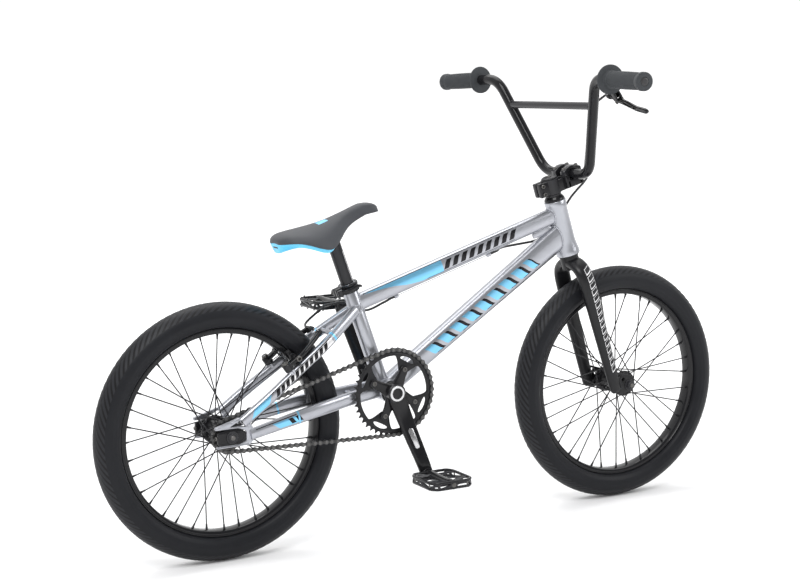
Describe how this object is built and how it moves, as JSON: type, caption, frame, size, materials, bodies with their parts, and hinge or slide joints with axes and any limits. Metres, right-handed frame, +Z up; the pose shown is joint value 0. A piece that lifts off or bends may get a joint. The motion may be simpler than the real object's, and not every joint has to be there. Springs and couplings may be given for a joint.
{
  "type": "bmx bike",
  "caption": "BMX race bike with an oval-tube alloy frame, spoked wheels, rise handlebar with crossbar, single-speed chain drive, platform pedals and a rear rim brake.",
  "frame": {"origin": "on the ground, midway between the wheels and on the bike's middle plane", "axes": "+X forward, +Y to the rider's left, +Z up"},
  "size_m": [1.4672, 0.7818, 0.965],
  "materials": {
    "silver_alloy": "satin clear coat",
    "black_alloy": "satin black",
    "black_steel": "black oxide",
    "gunmetal": "oiled dark steel",
    "tyre_rubber": "matt",
    "grip_rubber": "matt",
    "saddle_cover": "matt",
    "blue_plastic": "moulded",
    "black_plastic": "matt"
  },
  "bodies": {
    "main_frame": {"frame": "silver_alloy", "headset_upper_bearing": "black_steel", "headset_lower_bearing": "black_steel", "bottom_bracket_cup_left": "black_alloy", "bottom_bracket_cup_right": "black_alloy", "seat_clamp": "black_alloy", "seat_clamp_skewer": "black_steel", "chain_tensioner_left": "black_alloy", "chain_tensioner_right": "black_alloy", "rear_axle": "black_steel", "rear_axle_nut_left": "black_steel", "rear_axle_nut_right": "black_steel", "chain": "gunmetal", "brake_inner_cable": "gunmetal", "brake_housing_rear": "black_plastic"},
    "steering": {"fork": "black_alloy", "headset_cover": "black_alloy", "headset_top_cap": "black_alloy", "stem": "black_alloy", "stem_clamp_cap": "black_alloy", "handlebar": "black_alloy", "grip_left": "grip_rubber", "grip_right": "grip_rubber", "brake_lever_bracket": "black_alloy", "front_axle": "black_steel", "front_axle_nut_left": "black_steel", "front_axle_nut_right": "black_steel", "brake_housing_front": "black_plastic"},
    "front_wheel": {"front_tyre": "tyre_rubber", "front_inner_tube": "tyre_rubber", "front_rim": "black_alloy", "front_hub": "black_alloy", "front_hub_bearings": "black_steel", "front_spokes_left": "black_steel", "front_spokes_right": "black_steel"},
    "rear_wheel": {"rear_tyre": "tyre_rubber", "rear_inner_tube": "tyre_rubber", "rear_rim": "black_alloy", "rear_hub": "black_alloy", "rear_hub_bearings": "black_steel", "rear_spokes_left": "black_steel", "rear_spokes_right": "black_steel"},
    "rear_freewheel": {"freewheel": "gunmetal"},
    "cranks": {"chainring": "black_alloy", "crank_arm_left": "black_alloy", "crank_arm_right": "black_alloy", "pedal_axle_left": "black_steel", "pedal_axle_right": "black_steel"},
    "left_pedal": {"pedal_left": "black_alloy"},
    "right_pedal": {"pedal_right": "black_alloy"},
    "lever_blade": {"brake_lever": "black_alloy"},
    "left_brake_arm": {"brake_arm_left": "black_alloy", "brake_pad_left": "black_plastic", "brake_noodle": "black_steel"},
    "right_brake_arm": {"brake_arm_right": "black_alloy", "brake_pad_right": "black_plastic"},
    "post": {"seat_post": "black_alloy"},
    "saddle": {"saddle_shell": "blue_plastic", "saddle_pad": "saddle_cover"},
    "clamp_lever": {"seat_clamp_lever": "black_alloy"}
  },
  "joints": [
    {"name": "steering_turn", "type": "hinge", "parent": "main_frame", "child": "steering", "pos_m": [0.35274, 0, 0.55576], "axis": [-0.2756, 0, 0.9613], "range_deg": [-75, 75], "deforming": ["brake_housing_front"]},
    {"name": "front_wheel_spin", "type": "hinge", "parent": "steering", "child": "front_wheel", "pos_m": [0.475, 0, 0.26], "axis": [0, 1, 0], "continuous": true},
    {"name": "rear_wheel_spin", "type": "hinge", "parent": "main_frame", "child": "rear_wheel", "pos_m": [-0.475, 0, 0.26], "axis": [0, 1, 0], "continuous": true},
    {"name": "crank_spin", "type": "hinge", "parent": "main_frame", "child": "cranks", "pos_m": [-0.109, 0, 0.306], "axis": [0, 1, 0], "continuous": true},
    {"name": "freewheel_spin", "type": "hinge", "parent": "main_frame", "child": "rear_freewheel", "pos_m": [-0.475, 0, 0.26], "axis": [0, 1, 0], "continuous": true},
    {"name": "left_pedal_spin", "type": "hinge", "parent": "cranks", "child": "left_pedal", "pos_m": [-0.16462, 0, 0.47719], "axis": [0, 1, 0], "continuous": true},
    {"name": "right_pedal_spin", "type": "hinge", "parent": "cranks", "child": "right_pedal", "pos_m": [-0.05338, 0, 0.13481], "axis": [0, 1, 0], "continuous": true},
    {"name": "brake_lever_pull", "type": "hinge", "parent": "steering", "child": "lever_blade", "pos_m": [0.31429, -0.24733, 0.89273], "axis": [-0.8434, 0.105, -0.527], "range_deg": [0, 20], "stiffness_Nm_per_rad": 0.6, "springref_deg": -8.59},
    {"name": "left_brake_arm_swing", "type": "hinge", "parent": "main_frame", "child": "left_brake_arm", "pos_m": [-0.33049, 0.05061, 0.36046], "axis": [0.5708, 0, -0.8211], "range_deg": [0, 3.5], "deforming": ["brake_housing_rear"]},
    {"name": "right_brake_arm_swing", "type": "hinge", "parent": "main_frame", "child": "right_brake_arm", "pos_m": [-0.33049, -0.05061, 0.36046], "axis": [-0.5708, 0, 0.8211], "range_deg": [0, 3.5]},
    {"name": "seat_height", "type": "slide", "parent": "main_frame", "child": "post", "axis": [-0.3223, 0, 0.9466], "range_m": [-0.03, 0.04]},
    {"name": "saddle_tilt", "type": "hinge", "parent": "post", "child": "saddle", "pos_m": [-0.21921, 0, 0.62975], "axis": [0, 1, 0], "range_deg": [-12, 12]},
    {"name": "seat_clamp_release", "type": "hinge", "parent": "main_frame", "child": "clamp_lever", "pos_m": [-0.21046, -0.0173, 0.51653], "axis": [0.3223, 0, -0.9466], "range_deg": [0, 150]}
  ],
  "couplings": [
    {"joint": "freewheel_spin", "follows": "crank_spin", "ratio": 2.75},
    {"joint": "left_brake_arm_swing", "follows": "brake_lever_pull", "ratio": 0.175},
    {"joint": "right_brake_arm_swing", "follows": "brake_lever_pull", "ratio": 0.175}
  ]
}
